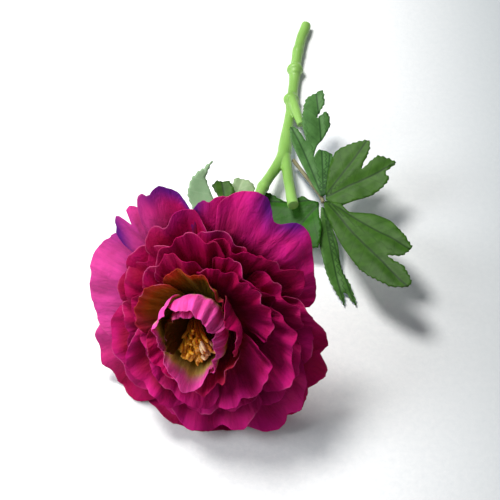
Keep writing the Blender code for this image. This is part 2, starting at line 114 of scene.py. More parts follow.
OPEN_TINTS = ((0.0, OLIVE), (0.2, RED), (0.5, PAINTED_SHADE_DARK), (0.71, DEEP), (0.87, MAGENTA), (1.0, MAGENTA))
RINGS = {
    "outer": petal_ring(
        (5.6, -6.4),
        28,
        (
            (0, 46, 0, -5),
            (30, 44, -3, -20),
            (51, 50, -3, -25),
            (85, 53, -3, -25),
            (105, 46, -3, -16),
            (125, 51, 0, -8),
            (145, 50, 0, -8),
            (190, 50, -1, -10),
            (228, 56, -1, -5),
            (270, 52, 7, 15),
            (300, 55, 1, 0),
            (330, 51, 0, -5),
        ),
        (
            (54, 40, 1.0, 0.27, 0.12),
            (98.5, 11.5, 0.93, 0.0, 0.02),
            (122.5, 12.5, 1.02, 0.2, 0.03),
            (141, 11, 1.0, 0.0, 0.10),
            (176, 32, 1.0, 0.0, 0.0),
            (222, 27, 1.0, 0.1, 0.04),
            (270, 31, 1.0, -0.2, 0.03),
            (312, 25, 1.0, 0.1, 0.05),
            (349, 23, 1.0, 0.0, 0.05),
        ),
        OPEN_TINTS,
        shear=1.4,
        ruffle=1.6,
        lip=0.0,
        curl=0.3,
        waves=(5, 9),
    ),
    "second": petal_ring(
        (5.4, -4.5),
        36,
        (
            (0, 43, 6, 24),
            (33, 40, 5, 14),
            (50, 36.5, 6, 22),
            (61, 34.5, 7, 28),
            (75, 33.5, 7.5, 32),
            (95, 36, 8, 30),
            (118, 38.5, 7, 24),
            (150, 40, 6, 10),
            (185, 38.5, 6, 10),
            (225, 45, 7, 18),
            (270, 47, 11.5, 34),
            (292, 48, 10.5, 36),
            (318, 48.5, 8, 32),
            (335, 46, 7, 28),
        ),
        (
            (46, 23, 1.00, 0, 0.05),
            (84, 25, 0.94, -0.3, 0.04),
            (120, 22, 1.03, 0.1, 0.05),
            (163, 29, 0.95, 0, 0.04),
            (215, 32, 1.00, 0.2, 0.05),
            (268, 31, 0.95, -0.1, 0.04),
            (318, 28, 1.04, 0, 0.05),
            (3, 25, 0.94, 0, 0.05),
        ),
        OPEN_TINTS,
        shear=1.2,
        ruffle=2.0,
        waves=(4, 9),
    ),
    "third": petal_ring(
        (5.1, -3.2),
        44,
        (
            (0, 38, 11.5, 44),
            (35, 32.5, 10, 34),
            (55, 31, 11, 42),
            (75, 31, 12, 48),
            (95, 33.5, 12, 44),
            (120, 35, 11, 30),
            (150, 34, 10, 18),
            (185, 33, 10, 18),
            (225, 39, 12, 30),
            (270, 42, 15.5, 42),
            (310, 43.5, 13.5, 46),
            (335, 42, 12, 46),
        ),
        (
            (30, 26, 1.00, 0.1, 0.05),
            (75, 27, 1.00, 0, 0.04),
            (124, 31, 0.93, -0.2, 0.05),
            (175, 31, 1.00, 0.1, 0.05),
            (230, 32, 0.93, 0, 0.04),
            (283, 31, 1.03, 0.1, 0.05),
            (334, 31, 0.95, 0, 0.05),
        ),
        OPEN_TINTS,
        waves=(5, 8),
        ruffle=2.0,
    ),
    "fourth": petal_ring(
        (4.8, -1.6),
        50,
        (
            (0, 33, 16, 60),
            (35, 28.5, 14.5, 48),
            (55, 27, 15, 54),
            (75, 28.5, 15.5, 58),
            (110, 30.5, 15, 48),
            (150, 28.5, 13.5, 34),
            (185, 27.5, 13, 34),
            (225, 33.5, 16, 42),
            (270, 37, 19, 52),
            (310, 38, 18, 58),
            (335, 37, 17, 62),
        ),
        (
            (58, 33, 0.98, 0, 0.05),
            (114, 33, 1.04, 0.2, 0.05),
            (172, 34, 0.90, 0, 0.05),
            (234, 34, 1.03, 0.1, 0.05),
            (292, 33, 0.94, -0.1, 0.05),
            (354, 34, 1.03, 0, 0.05),
        ),
        OPEN_TINTS,
        waves=(4, 7),
        ruffle=1.9,
    ),
    "fifth": petal_ring(
        (4.5, 0.0),
        54,
        (
            (0, 27, 20, 64),
            (20, 24.5, 18.5, 56),
            (45, 23, 18, 50),
            (68, 23.5, 17.5, 46),
            (90, 26, 17, 40),
            (120, 28, 17.5, 36),
            (150, 26.5, 16.5, 40),
            (180, 25, 16, 44),
            (205, 25, 17, 48),
            (240, 27.5, 19.5, 52),
            (275, 31, 22, 54),
            (300, 32, 21.5, 62),
            (335, 31, 20.5, 66),
        ),
        (
            (50, 52, 1.0, 0.5, 0.03),
            (132, 36, 1.0, 0.0, 0.04),
            (196, 36, 1.0, 0.1, 0.05),
            (256, 36, 1.0, 0.0, 0.05),
            (318, 37, 1.0, -0.2, 0.05),
        ),
        # The deep stop is painted shade where the petals lie over one another.
        ((0.0, OLIVE), (0.35, RED), (0.55, DEEP), (0.78, MAGENTA), (1.0, MAGENTA)),
        ruffle=1.5,
        waves=(3, 7),
    ),
    "sixth": petal_ring(
        (4.2, 1.6),
        56,
        (
            (0, 15, 28, 122),
            (40, 14.5, 29, 122),
            (70, 18, 27, 96),
            (92, 22.5, 22.5, 62),
            (120, 24, 20.5, 50),
            (150, 24.5, 19.5, 46),
            (180, 24.5, 19, 50),
            (205, 22.5, 19.5, 56),
            (240, 21.5, 22, 64),
            (273, 24.5, 22.5, 58),
            (307, 19.5, 26, 92),
            (335, 15.5, 27.5, 116),
        ),
        (
            (22, 42, 1.0, 0.1, 0.04),
            (98, 42, 1.0, 0.0, 0.04),
            (168, 37, 1.0, 0.0, 0.03),
            (232, 37, 1.0, 0.1, 0.04),
            (300, 43, 1.0, 0.0, 0.05),
        ),
        ((0.0, OLIVE), (0.76, OLIVE), (0.87, ORANGE), (0.95, RED), (1.0, SALMON)),
        shear=-0.9,
        ruffle=0.9,
        waves=(4, 7),
        fine=0.8,
        lip=0.8,
        curl=0.4,
    ),
    "bud": petal_ring(
        (3.9, 3.2),
        54,
        (
            (0, 7.5, 28, 140),
            (41, 7.5, 31, 140),
            (82, 11.5, 32, 138),
            (105, 13.5, 32, 134),
            (140, 13.5, 31, 124),
            (170, 13.5, 30.5, 108),
            (200, 13.5, 29.5, 98),
            (235, 16, 27.5, 80),
            (273, 22, 25, 46),
            (303, 14, 27, 88),
            (335, 9, 28, 124),
        ),
        (
            (85, 53, 1.0, 0.2, 0.03),
            (176, 48, 1.0, 0.0, 0.04),
            (265, 44, 1.0, 0.0, -0.05),
            (345, 50, 1.0, 0.0, 0.04),
        ),
        ((0.0, OLIVE), (0.66, OLIVE), (0.80, YELLOW), (0.87, BLUSH), (0.94, ROSE), (1.0, ROSE)),
        shear=0.95,
        ruffle=0.5,
        waves=(4, 7),
        fine=0.6,
        lip=0.0,
        curl=0.0,
    ),
    "heart": petal_ring(
        (3.6, 4.8),
        52,
        (
            (60, 7.5, 28.5, 122),
            (120, 9.5, 29, 126),
            (190, 11, 27.5, 104),
            (240, 12.5, 27, 98),
            (280, 12, 26, 98),
        ),
        (
            (125, 42, 1.0, 0.0, 0.05),
            (202, 32, 1.0, 0.0, 0.05),
        ),
        ((0.0, OLIVE), (0.35, OLIVE), (0.55, RED), (0.75, BRIGHT_DYE_AND_HIGHLIGHT), (1.0, ROSE)),
        shear=0.4,
        ruffle=0.3,
        waves=(3, 5),
        fine=0.5,
        lip=0.0,
        curl=0.0,
    ),
}

OPEN_RINGS = ("second", "third", "fourth", "fifth")

# Colours laid over a ring's own tints, dyes and, where marked, painted light and painted shade. In
# order: the colour and the most of it, the direction round the bloom where it is strongest, and what
# it comes in between: cosines of the turn from there, shares of the way out to the ring's edge, and
# shares of the petal's length. ALL is past on any petal.
ALL = (-1.0, 0.0)
OPEN_PATCHES = (
    (CRIMSON, 0.7, 90, (-0.6, 0.0), (0.5, 0.8), ALL),
    (DEEP, 0.35, 180, (0.2, 0.9), ALL, ALL),
    # Painted shade: the open rings darker on their right, away from the light.
    (DEEP, 0.35, 20, (0.2, 0.9), ALL, ALL),
    # Painted highlight on the open rings at the lower right.
    (BRIGHT_DYE_AND_HIGHLIGHT, 0.4, 325, (0.2, 0.9), (0.4, 0.8), ALL),
)
PATCHES = {
    "outer": (
        # Painted light: the outer petals lit lighter pink on the left.
        (PAINTED_LIGHT_PINK, 0.85, 172, (0.5, 1.0), (0.5, 0.85), ALL),
        # Painted light: the outer petals at the upper right made brighter than the lamps leave them.
        (BRIGHT_DYE_AND_HIGHLIGHT, 0.9, 55, (0.6, 1.0), (0.5, 0.75), ALL),
    ),
    **{name: OPEN_PATCHES for name in OPEN_RINGS},
    "sixth": (
        (SCARLET, 0.8, 322, (0.7, 1.0), (0.5, 0.8), ALL),
        (ORANGE, 0.55, 165, (0.4, 0.95), (0.35, 0.7), ALL),
        (SCARLET, 0.6, 165, (0.4, 0.95), ALL, (0.82, 1.0)),
        (MAGENTA, 1.0, 245, (0.3, 0.9), (0.6, 0.85), ALL),
    ),
    "bud": (),
    "heart": ((UMBER, 1.0, 215, (-0.1, 0.5), ALL, ALL),),
}

# Violet dye on petal edges: ring, petal, place and width across, and how far down it runs.
VIOLET_SPOTS = (
    ("outer", 1, 0.10, 0.15, 0.20),
    ("outer", 1, 0.44, 0.16, 0.26),
    ("outer", 2, 0.95, 0.8, 0.24),
    ("outer", 3, -0.5, 1.2, 0.14),
    ("outer", 4, 0.8, 0.6, 0.26),
    ("outer", 5, -1.0, 0.3, 0.2),
    ("second", 3, -0.2, 0.6, 0.16),
    ("second", 2, 0.3, 0.5, 0.18),
)

STEM_ROUTE = (  # x, y, z and radius, from the cut end to the bloom
    (43.8, 195.0, 2.8, 2.5),
    (42.6, 190.0, 2.9, 2.7),
    (41.2, 186.0, 2.9, 2.7),
    (39.6, 178.5, 2.9, 2.7),
    (39.0, 175.5, 3.1, 2.95),
    (38.5, 172.5, 2.9, 2.7),
    (37.6, 165.6, 2.9, 2.7),
    (37.3, 162.6, 3.6, 3.5),
    (37.0, 160.2, 3.6, 3.4),
    (36.8, 157.4, 2.9, 2.7),
    (36.0, 149.0, 2.9, 2.6),
    (35.4, 144.4, 3.2, 2.7),
    (35.1, 141.8, 3.5, 3.3),
    (34.9, 139.0, 3.5, 3.2),
    (34.4, 134.4, 3.6, 2.5),
    (33.0, 125.0, 4.4, 2.5),
    (31.6, 114.0, 5.4, 3.0),
    (30.6, 105.0, 6.4, 3.3),
    (28.0, 98.0, 7.6, 2.7),
    (24.4, 90.0, 9.2, 2.4),
    (21.4, 83.5, 10.8, 2.5),
    (20.4, 80.6, 11.6, 2.8),
    (19.4, 77.6, 12.2, 2.4),
    (15.0, 61.0, 15.4, 2.1),
    (10.6, 42.0, 19.4, 2.1),
    (7.0, 26.0, 24.2, 2.2),
)
SIDE_ROUTE = (
    (31.0, 106.0, 6.4, 2.3),
    (31.4, 97.0, 8.2, 2.5),
    (31.9, 87.0, 10.6, 2.4),
    (32.7, 77.0, 13.0, 2.4),
    (33.6, 67.6, 15.2, 2.5),
)
SHEATH_ROUTE = (
    (34.6, 144.0, 5.0, 2.0),
    (35.8, 136.0, 6.4, 2.3),
    (37.4, 127.0, 8.0, 2.1),
    (38.6, 120.0, 9.4, 1.6),
)
COLLARS = (  # thin moulding rings round the stem
    ((37.2, 163.0, 3.5, 3.2), (37.1, 162.1, 3.7, 3.9), (37.0, 161.1, 3.8, 4.0), (37.0, 160.2, 3.8, 3.3)),
    ((34.8, 142.4, 3.6, 2.9), (34.7, 141.6, 3.8, 3.8), (34.7, 140.6, 3.8, 3.7), (34.9, 139.8, 3.7, 3.0)),
)
RIGHT_PETIOLE = (
    (34.9, 101.6, 5.2, 1.0),
    (37.6, 95.0, 7.2, 0.9),
    (41.6, 86.0, 9.6, 0.9),
    (45.6, 77.0, 11.4, 0.9),
    (46.8, 73.6, 11.9, 0.9),
    (47.0, 71.6, 12.1, 0.8),
)
LEFT_PETIOLE = (
    (17.4, 79.6, 8.4, 0.9),
    (13.0, 76.0, 8.0, 0.9),
    (7.0, 70.0, 8.6, 0.9),
    (2.6, 66.4, 10.6, 0.8),
)

# Receptacle and calyx, as radius and height along the bloom's axis. The calyx runs out over its
# front and comes back behind.
BOSS_STEPS = ((3.0, -9.4), (4.6, -8.4), (4.7, -6.4), (4.2, -2.0), (3.6, 1.6), (2.9, 4.4), (1.6, 6.0))
CAD_BOSS_SIDES = 14
CALYX_STEPS = (
    (3.0, -9.8), (6.0, -9.6), (8.5, -9.2), (11.0, -8.6), (13.5, -7.7), (15.5, -6.8), (15.8, -7.0),
    (15.6, -7.3), (13.4, -8.3), (11.0, -9.4), (8.5, -10.1), (6.0, -10.6), (3.0, -11.0),
)
CALYX_DISC = 6.0  # the sepals part outside this radius
STEM_TOP = (-11.4, 2.4)  # height along the bloom's axis, and radius

# Stamens, in the bloom's frame.
TUFT_FOOT = Vector((-4.3, 0.5, 8.4))
TUFT_TOP = Vector((-0.2, -7.4, 21.5))
TUFT_SPREAD = (6.0, 4.8)
STAMEN_COUNT = 64
GOLDEN_ANGLE = math.pi * (3 - math.sqrt(5))
ANTHER = ((-1.0, 0.1), (-0.8, 0.45), (-0.3, 0.68), (0.2, 0.70), (0.7, 0.52), (1.0, 0.14))

# Leaflets: height at the leaf's centre, slope to the right and away, outline round that centre,
# where the main ribs end, whether the underside shows, and a factor on its red, green and blue.
RIGHT_LEAF_CENTRE = (47.0, 72.7)
LEFT_LEAF_CENTRE = (4.0, 66.0)
TOOTH_PITCH = 2.6
TOOTH_DEPTH = 0.75
NET_SPACING = 1.1
NET_ROW = 0.87  # distance between the rows of a triangular net, as a share of its spacing
LEAFLETS = {
    "leaflet_right_a": {
        "level": 13.4,
        "slope": (0.0, 0.2),
        "outline": (
            (-1.0, 1.5), (-4, 6), (-7, 12), (-12, 23), (-14, 29), (-14, 35.5), (-11, 34.5), (-7, 28),
            (-8.5, 36), (-8, 44), (-6, 51), (1, 55), (2, 48), (-1.6, 41), (3, 44), (4.5, 38),
            (2, 32), (-2, 26), (-3.6, 20), (-1, 24.5), (5, 22.5), (4, 16), (2.4, 8), (1.2, 2),
        ),
        "ribs": ((-12.5, 33.0), (-1.5, 52.0), (3.6, 21.0)),
        "light": (1.6, 1.5, 3.6),
    },
    "leaflet_right_b": {
        "level": 14.2,
        "slope": (0.28, 0.3),
        "outline": (
            (1.2, 0.8), (2.6, 12), (6, 20), (12, 22.5), (20, 22.5), (21, 18.5), (17, 10), (24, 14.5),
            (32, 10.5), (27, 7), (28.5, 3), (21, -2.5), (9, -5.2), (6.4, -5.4), (3, -3), (1.4, -1.2),
        ),
        "ribs": ((18.5, 21.0), (30.0, 10.0)),
        "light": (0.95, 0.95, 0.95),
    },
    "leaflet_right_c": {
        "level": 14.2,
        "slope": (0.25, -0.05),
        "outline": (
            (1.2, -2), (3.4, -2.9), (7.0, -4.8), (11, -10.5), (21, -14), (28, -20), (35, -33.5),
            (31, -38), (25, -37.5), (31, -44), (33, -53), (25, -52.5), (14, -43.5), (8, -31),
            (3.2, -18), (0.4, -8), (0.2, -3.6),
        ),
        "ribs": ((33.0, -34.0), (30.0, -51.0)),
        "light": (0.9, 0.9, 0.9),
    },
    "leaflet_right_d": {
        "level": 12.2,
        "slope": (0.0, 0.23),
        "outline": (
            (-0.8, -3.2), (-1.4, -9), (-2.4, -18), (1, -35), (8, -48.5), (8, -42), (13, -48),
            (11.4, -40), (7.4, -31), (6, -20), (2.6, -9), (0.8, -3.6),
        ),
        "ribs": ((7.6, -47.0), (12.0, -46.0)),
        "light": (1.5, 1.4, 2.5),
    },
    "leaflet_right_e": {
        "level": 12.2,
        "slope": (0.26, 0.1),
        "outline": (
            (-1.8, -0.8), (-6, 1.5), (-9, 4), (-15, 2.5), (-20, 5), (-26, 9), (-31, 4), (-28, -6),
            (-20, -16), (-11, -22), (-3, -23.5), (-1, -14), (-1.8, -8), (-1.9, -4),
        ),
        "ribs": ((-29.0, 4.0), (-17.0, -18.0)),
        "light": (0.6, 0.95, 0.6),
    },
    "leaflet_left_a": {
        "level": 12.4,
        "slope": (-0.05, 0.5),
        "outline": (
            (-2, 0), (-5, 4), (-9, 14), (-6, 20), (-10.5, 17), (-15, 13), (-17, 7), (-14, 0),
            (-8, -4), (-3, -2.4),
        ),
        "ribs": ((-9.0, 16.0),),
        "flipped": True,
        "light": (0.75, 0.85, 0.8),
    },
    "leaflet_left_b": {
        "level": 12.6,
        "slope": (0.0, 0.12),
        "outline": (
            (0, 2), (2, 6), (3.6, 11), (1.4, 15.4), (-4, 16), (-6.4, 13), (-3.6, 8), (-1.2, 3),
        ),
        "ribs": ((-2.0, 15.0),),
        "light": (0.95, 0.95, 0.95),
    },
    "leaflet_left_c": {
        "level": 10.8,
        "slope": (-0.05, 0.2),
        "outline": (
            (1.4, -1), (6, 2), (10, 6), (12.4, 10), (12.6, 14), (9.4, 17), (4, 17.8), (1, 8), (0.4, 1),
        ),
        "ribs": ((7.0, 16.0),),
        "flipped": True,
        "light": (0.9, 0.9, 0.8),
    },
}

# The stage, in metres.
FLOOR_HALF = 2.0
LIGHT_TARGET = Vector((0.0, -0.03, 0.03))
CAMERA_PLACE = Vector((0.01462, -0.21313, 0.38196))
CAMERA_TILT = 35  # from straight down, in degrees
CAMERA_LENS = 75.6  # focal length, in millimetres, on the default sensor 36 wide


def smooth_step(low, high, x):
    """0 below low, 1 above high, and a smooth rise between them."""
    t = min(1.0, max(0.0, (x - low) / (high - low)))
    return t * t * (3 - 2 * t)


def mixed(a, b, share):
    return tuple(p + (q - p) * share for p, q in zip(a, b))


def spline(a, b, c, d, t):
    """A share t of the way from b to c on a smooth line through a, b, c and d."""
    bend = (2 * a - 5 * b + 4 * c - d) * (t * t) + (3 * b - a - 3 * c + d) * (t * t * t)
    return b + ((c - a) * t + bend) / 2


def direction(degrees):
    return Vector((math.cos(math.radians(degrees)), math.sin(math.radians(degrees))))


def bloom_matrix():
    """The bloom's own frame in metres: Z is its axis and Y is its upper side."""
    rise = math.radians(BLOOM_RISE)
    turn = math.radians(BLOOM_TURN)
    axis = Vector((math.sin(turn) * math.cos(rise), -math.cos(turn) * math.cos(rise), math.sin(rise)))
    up = (Vector((0, 0, 1)) - axis * axis.z).normalized()
    right = up.cross(axis)
    return Matrix.Translation(BLOOM_CENTRE * MM) @ Matrix((right, up, axis)).transposed().to_4x4()


BLOOM = bloom_matrix()


def find_shift():
    """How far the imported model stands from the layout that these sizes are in, from its receptacle."""
    low = Vector((math.inf, math.inf, math.inf))
    for radius, height in BOSS_STEPS:
        for i in range(CAD_BOSS_SIDES):
            angle = 2 * math.pi * i / CAD_BOSS_SIDES
            spot = Vector((radius * math.cos(angle), radius * math.sin(angle), height))
            low = Vector(map(min, low, BLOOM @ (spot * MM)))
    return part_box("receptacle")[0] - low


SHIFT = find_shift()


def edge_at(edge, degrees):
    """Distance, height and steepness of a ring's edge at an angle round the bloom."""
    degrees = degrees % 360
    before = [row for row in edge if row[0] <= degrees]
    after = [row for row in edge if row[0] > degrees]
    low = before[-1] if before else (edge[-1][0] - 360, *edge[-1][1:])
    high = after[0] if after else (edge[0][0] + 360, *edge[0][1:])
    t = smooth_step(low[0], high[0], degrees)
    return [a + (b - a) * t for a, b in zip(low[1:], high[1:])]


def ring_point(ring, angle, along, over):
    """A point of a ring's surface, in millimetres, over it towards the axis."""
    distance, height, steepness = edge_at(ring["edge"], math.degrees(angle))
    base = Vector(ring["base"])
    tip = Vector((distance, height))
    reach = 0.4 * (tip - base).length
    first = base + reach * direction(ring["base_rise"])
    last = tip - reach * direction(steepness)
    t, s = along, 1 - along
    place = base * s**3 + first * (3 * s * s * t) + last * (3 * s * t * t) + tip * t**3
    slope = (first - base) * (s * s) + (last - first) * (2 * s * t) + (tip - last) * (t * t)
    slope.normalize()
    place += Vector((-slope.y, slope.x)) * over
    return Vector((place.x * math.cos(angle), place.x * math.sin(angle), place.y))


def around(angle, count, seed, along=0.0):
    """Smooth noise round the bloom: about count bumps to a radian, the same for a whole ring."""
    return noise.noise(Vector((math.cos(angle) * count, math.sin(angle) * count, seed + along)))


def petal_point(ring, petal, u, v, seed):
    """A point of a fine petal, in millimetres, its share of the way to the ring's edge, and its
    angle round the bloom. u runs across the petal from -1 to 1, and v from its foot to its edge."""
    middle, half, length, notch_at, notch = petal
    short = 0.16 * abs(u) ** 4 + notch * math.exp(-(((u - notch_at) / 0.14) ** 2)) * v
    ragged = 0.035 * around(math.radians(middle) + u, 3, seed + 40.5)
    ragged += 0.010 * around(math.radians(middle) + u, 13, seed + 70.5)
    along = v * length * (1 - short + ragged * smooth_step(0.5, 1.0, v))
    spread = math.radians(half) * (0.6 + 0.4 * smooth_step(0.05, 0.55, along))
    angle = math.radians(middle) + u * spread
    low, high = ring["waves"]
    wave = 0.6 * math.sin(low * angle + low) + 0.4 * math.sin(high * angle + 2 * high)
    over = ring["shear"] * u * smooth_step(0.0, 0.7, along)
    over += ring["ruffle"] * wave * smooth_step(0.4, 1.0, along)
    over -= ring["lip"] * (max(0.0, along - 0.7) / 0.3) ** 2
    over -= ring["curl"] * max(0.0, along - 0.86) ** 2 / 0.02
    fine = 3.2 * around(angle, 6, seed, along * 0.6) * smooth_step(0.4, 1.0, along)
    fine += 0.7 * around(angle, 12, seed + 10.5, along) * smooth_step(0.6, 1.0, along)
    crease = abs(around(angle, 11, seed + 20.5, along * 0.5))
    fine += 0.4 * max(0.0, 1 - crease / 0.16) * smooth_step(0.25, 0.8, along)
    over += ring["fine"] * fine
    return ring_point(ring, angle, along, over), along, angle


def rest_on_table(point):
    """Flattens a bloom point, in millimetres, that would be at or below the table; in metres."""
    world = BLOOM @ (point * MM)
    low = FLOOR_GAP * MM
    if world.z < low:
        world.z = low * math.exp((world.z - low) / low)
    world.z += CAD_PETAL_THICKNESS / 2 * MM
    return world + SHIFT


def facing(angle, degrees, low, high):
    """Comes in from 0 to 1 as the cosine of the turn from a direction goes from low to high."""
    return smooth_step(low, high, math.cos(angle - math.radians(degrees)))


def ring_colour(ring, shade):
    """The ring's own colour at a share of the way out: its dye, and on the rings from outer to fifth
    painted shade deeper in.
    """
    stops = ring["tints"]
    for (low, first), (high, last) in zip(stops, stops[1:]):
        if shade < high:
            return mixed(first, last, min(1.0, max(0.0, (shade - low) / (high - low))))
    return stops[-1][1]


def violet_share(name, number, u, v):
    """How much of a petal's dye is violet at a point."""
    left_out = 1.0
    for spot_ring, spot_number, place, width, depth in VIOLET_SPOTS:
        if spot_ring == name and spot_number == number:
            share = math.exp(-(((u - place) / width) ** 2)) * smooth_step(1 - depth, 1.0, v)
            left_out *= 1 - min(1.0, 1.1 * share)
    return 1 - left_out


def petal_tint(name, number, ring, u, v, along, angle, seed):
    """The colour at a point of a petal: its dye, with painted light and painted shade."""
    under = facing(angle, 270, 0.0, 0.8)
    shade = along + 0.06 * around(angle, 5, seed + 30.5)
    # Painted shade: on the lower petals the dark stops reach further towards the edge.
    if name in OPEN_RINGS:
        shade -= 0.12 * under
    if name == "sixth":
        shade += 0.05 - 0.12 * math.cos(angle - math.radians(118))
    if name == "bud":
        shade += 0.28 * facing(angle, 70, -0.2, 0.6)
    tint = ring_colour(ring, shade)
    violet = violet_share(name, number, u, v)
    if name != "outer":
        tint = mixed(tint, VIOLET, violet)
    # Painted shade: the sixth ring's petals on the right darker towards their foot.
    if name == "sixth":
        right = 1 - facing(angle, 155, -0.2, 0.25)
        tint = mixed(tint, mixed(DEEP, MAGENTA, smooth_step(0.5, 0.9, along)), right)
    # The laid colours are dyes, painted light and painted shade, as the tables mark.
    for laid_colour, most, degrees, cosines, out, up in PATCHES[name]:
        share = most * facing(angle, degrees, *cosines)
        tint = mixed(tint, laid_colour, share * smooth_step(*out, along) * smooth_step(*up, v))
    if name == "outer":  # only there does the violet lie over the other colours, painted light among them
        tint = mixed(tint, VIOLET, violet)
    # Painted highlight along the open petals' edges, strongest on the lower petals.
    if name in OPEN_RINGS:
        tint = mixed(tint, BRIGHT_DYE_AND_HIGHLIGHT, (0.15 + 0.4 * under) * smooth_step(0.88, 1.0, v))
    rim = smooth_step(0.990, 1.0, max(v, abs(u) * smooth_step(0.5, 0.7, v)))
    frayed = smooth_step(0.05, 0.3, around(angle, 4, seed + 50.5))
    return mixed(tint, FRAYED, rim * 0.45 * frayed)


def link_mesh(name, spots, faces, *materials, smooth=True):
    """A new mesh object in the scene, from vertices in metres."""
    mesh = bpy.data.meshes.new(name)
    mesh.from_pydata(spots, [], faces)
    mesh.validate()
    if smooth:
        mesh.shade_smooth()
    for material in materials:
        mesh.materials.append(material)
    made = bpy.data.objects.new(name, mesh)
    bpy.context.scene.collection.objects.link(made)
    return made


def paint(made, tints):
    """Stores each vertex's colour, for the materials to read."""
    layer = made.data.color_attributes.new("tint", "FLOAT_COLOR", "POINT")
    layer.data.foreach_set("color", [c for tint in tints for c in (*tint[:3], 1.0)])


def mark(made, spots):
    """Stores each vertex's place on the flat cloth, in millimetres, for its weave and creases."""
    layer = made.data.attributes.new("cloth", "FLOAT_VECTOR", "POINT")
    layer.data.foreach_set("vector", [c for spot in spots for c in spot])


def belong(made, node):
    """Rides the part's one body and stands for this CAD node."""
    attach(made, "root")
    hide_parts(node)


def thicken(made, thickness, under=0):
    """Gives a sheet its thickness; under shifts the material on its lower side."""
    skin = made.modifiers.new("thickness", "SOLIDIFY")
    skin.thickness = thickness * MM
    skin.offset = 0.0
    skin.use_even_offset = False
    skin.material_offset = under


def make_petals(silk):
    for r, (name, ring) in enumerate(RINGS.items()):
        for i, petal in enumerate(ring["petals"]):
            seed = 3.7 * r
            half_width = petal[1]
            columns = max(24, int(half_width * 1.5))
            spots, tints, cloth, faces = [], [], [], []
            for j in range(PETAL_ROWS + 1):
                v = 1 - (1 - j / PETAL_ROWS) ** 1.45  # rows and columns close up towards the edges
                for k in range(columns + 1):
                    u = 2 * k / columns - 1
                    u = 0.5 * u + 0.5 * math.sin(u * math.pi / 2)
                    point, along, angle = petal_point(ring, petal, u, v, seed)
                    spots.append(rest_on_table(point))
                    tints.append(petal_tint(name, i + 1, ring, u, v, along, angle, seed))
                    cloth.append((u * half_width * 0.7 + 90 * i, v * 45.0, 10.0 * r))
            wide = columns + 1
            for j in range(PETAL_ROWS):
                for k in range(columns):
                    a = j * wide + k
                    faces.append((a, a + 1, a + wide + 1, a + wide))
            made = link_mesh(f"silk_{name}_{i + 1}", spots, faces, silk)
            paint(made, tints)
            mark(made, cloth)
            thicken(made, PETAL_THICKNESS)
            belong(made, f"petal_{name}_{i + 1}")


def route_points(route, steps):
    """A smooth line through a route's stations, each x, y, z and radius."""
    rows = [Vector(row) for row in route]
    padded = [rows[0] * 2 - rows[1]] + rows + [rows[-1] * 2 - rows[-2]]
    line = []
    for i in range(len(rows) - 1):
        line += [spline(*padded[i : i + 4], k / steps) for k in range(steps)]
    line.append(rows[-1])
    return line


def tube_parts(route, sides, steps, first=0):
    """Vertices, in metres, and faces of a slightly uneven round bar along a route. steps are to a
    station, and first is what the bar's first vertex counts as."""
    line = route_points(route, steps)
    spots, faces = [], []
    across = Vector((1, 0, 0))
    for i, row in enumerate(line):
        ahead = (line[min(i + 1, len(line) - 1)].xyz - line[max(i - 1, 0)].xyz).normalized()
        across = (across - ahead * across.dot(ahead)).normalized()
        other = ahead.cross(across)
        for k in range(sides):
            turn = 2 * math.pi * k / sides
            off = (across * math.cos(turn) + other * math.sin(turn)) * row.w
            uneven = 1 + 0.07 * noise.noise((row.xyz + off) * 0.22)
            spots.append((row.xyz + off * uneven) * MM)
    for i in range(len(line) - 1):
        for k in range(sides):
            a = first + i * sides + k
            b = first + i * sides + (k + 1) % sides
            faces.append((a, b, b + sides, a + sides))
    faces.append(tuple(first + k for k in reversed(range(sides))))
    last = first + (len(line) - 1) * sides
    faces.append(tuple(last + k for k in range(sides)))
    return spots, faces


def make_petiole(node, route, material):
    spots, faces = tube_parts(route, sides=14, steps=6)
    made = link_mesh(f"fine_{node}", [spot + SHIFT for spot in spots], faces, material)
    belong(made, node)


def make_stem(material):
    """The stem, its fork and stalks, melted into one moulded piece."""
    height, radius = STEM_TOP
    top = BLOOM @ (Vector((0, 0, height)) * MM) / MM
    spots, faces = [], []
    for route in ((*STEM_ROUTE, (*top, radius)), SIDE_ROUTE, SHEATH_ROUTE, *COLLARS):
        more, skins = tube_parts(route, sides=24, steps=6, first=len(spots))
        spots += more
        faces += skins
    made = link_mesh("moulded_stem", [spot + SHIFT for spot in spots], faces, material)
    melt = made.modifiers.new("melt", "REMESH")
    melt.mode = "VOXEL"
    melt.voxel_size = STEM_VOXEL * MM
    melt.use_smooth_shade = True
    soften = made.modifiers.new("soften", "SMOOTH")
    soften.factor = 0.5
    soften.iterations = 2
    belong(made, "stem")


def make_turned(name, rings, sides, material, node):
    """A closed solid through rings in the bloom's frame: radius by angle, height by angle."""
    spots, faces = [], []
    for radius_at, height_at in rings:
        for i in range(sides):
            angle = 2 * math.pi * i / sides
            out = radius_at(angle)
            spot = Vector((out * math.cos(angle), out * math.sin(angle), height_at(angle)))
            spots.append(BLOOM @ (spot * MM) + SHIFT)
    for j in range(len(rings) - 1):
        for i in range(sides):
            a = j * sides + i
            b = j * sides + (i + 1) % sides
            faces.append((a, b, b + sides, a + sides))
    faces.append(tuple(reversed(range(sides))))
    faces.append(tuple((len(rings) - 1) * sides + i for i in range(sides)))
    belong(link_mesh(name, spots, faces, material), node)


def make_boss(material):
    rings = [(lambda a, r=r: r, lambda a, h=h: h) for r, h in BOSS_STEPS]
    make_turned("boss", rings, 48, material, "receptacle")


def make_sepals(material):
    """The calyx: a disc that parts into five rounded sepals with a slight wave across them."""

    def radius_at(angle, radius):
        if radius <= CALYX_DISC:
            return radius
        return CALYX_DISC + (radius - CALYX_DISC) * abs(math.cos(2.5 * angle)) ** 0.8

    def height_at(angle, radius, height):
        return height + 0.02 * (radius - 3) * math.cos(10 * angle)

    rings = [
        (lambda a, r=r: radius_at(a, r), lambda a, r=r, h=h: height_at(a, r, h)) for r, h in CALYX_STEPS
    ]
    make_turned("sepals", rings, 160, material, "calyx")


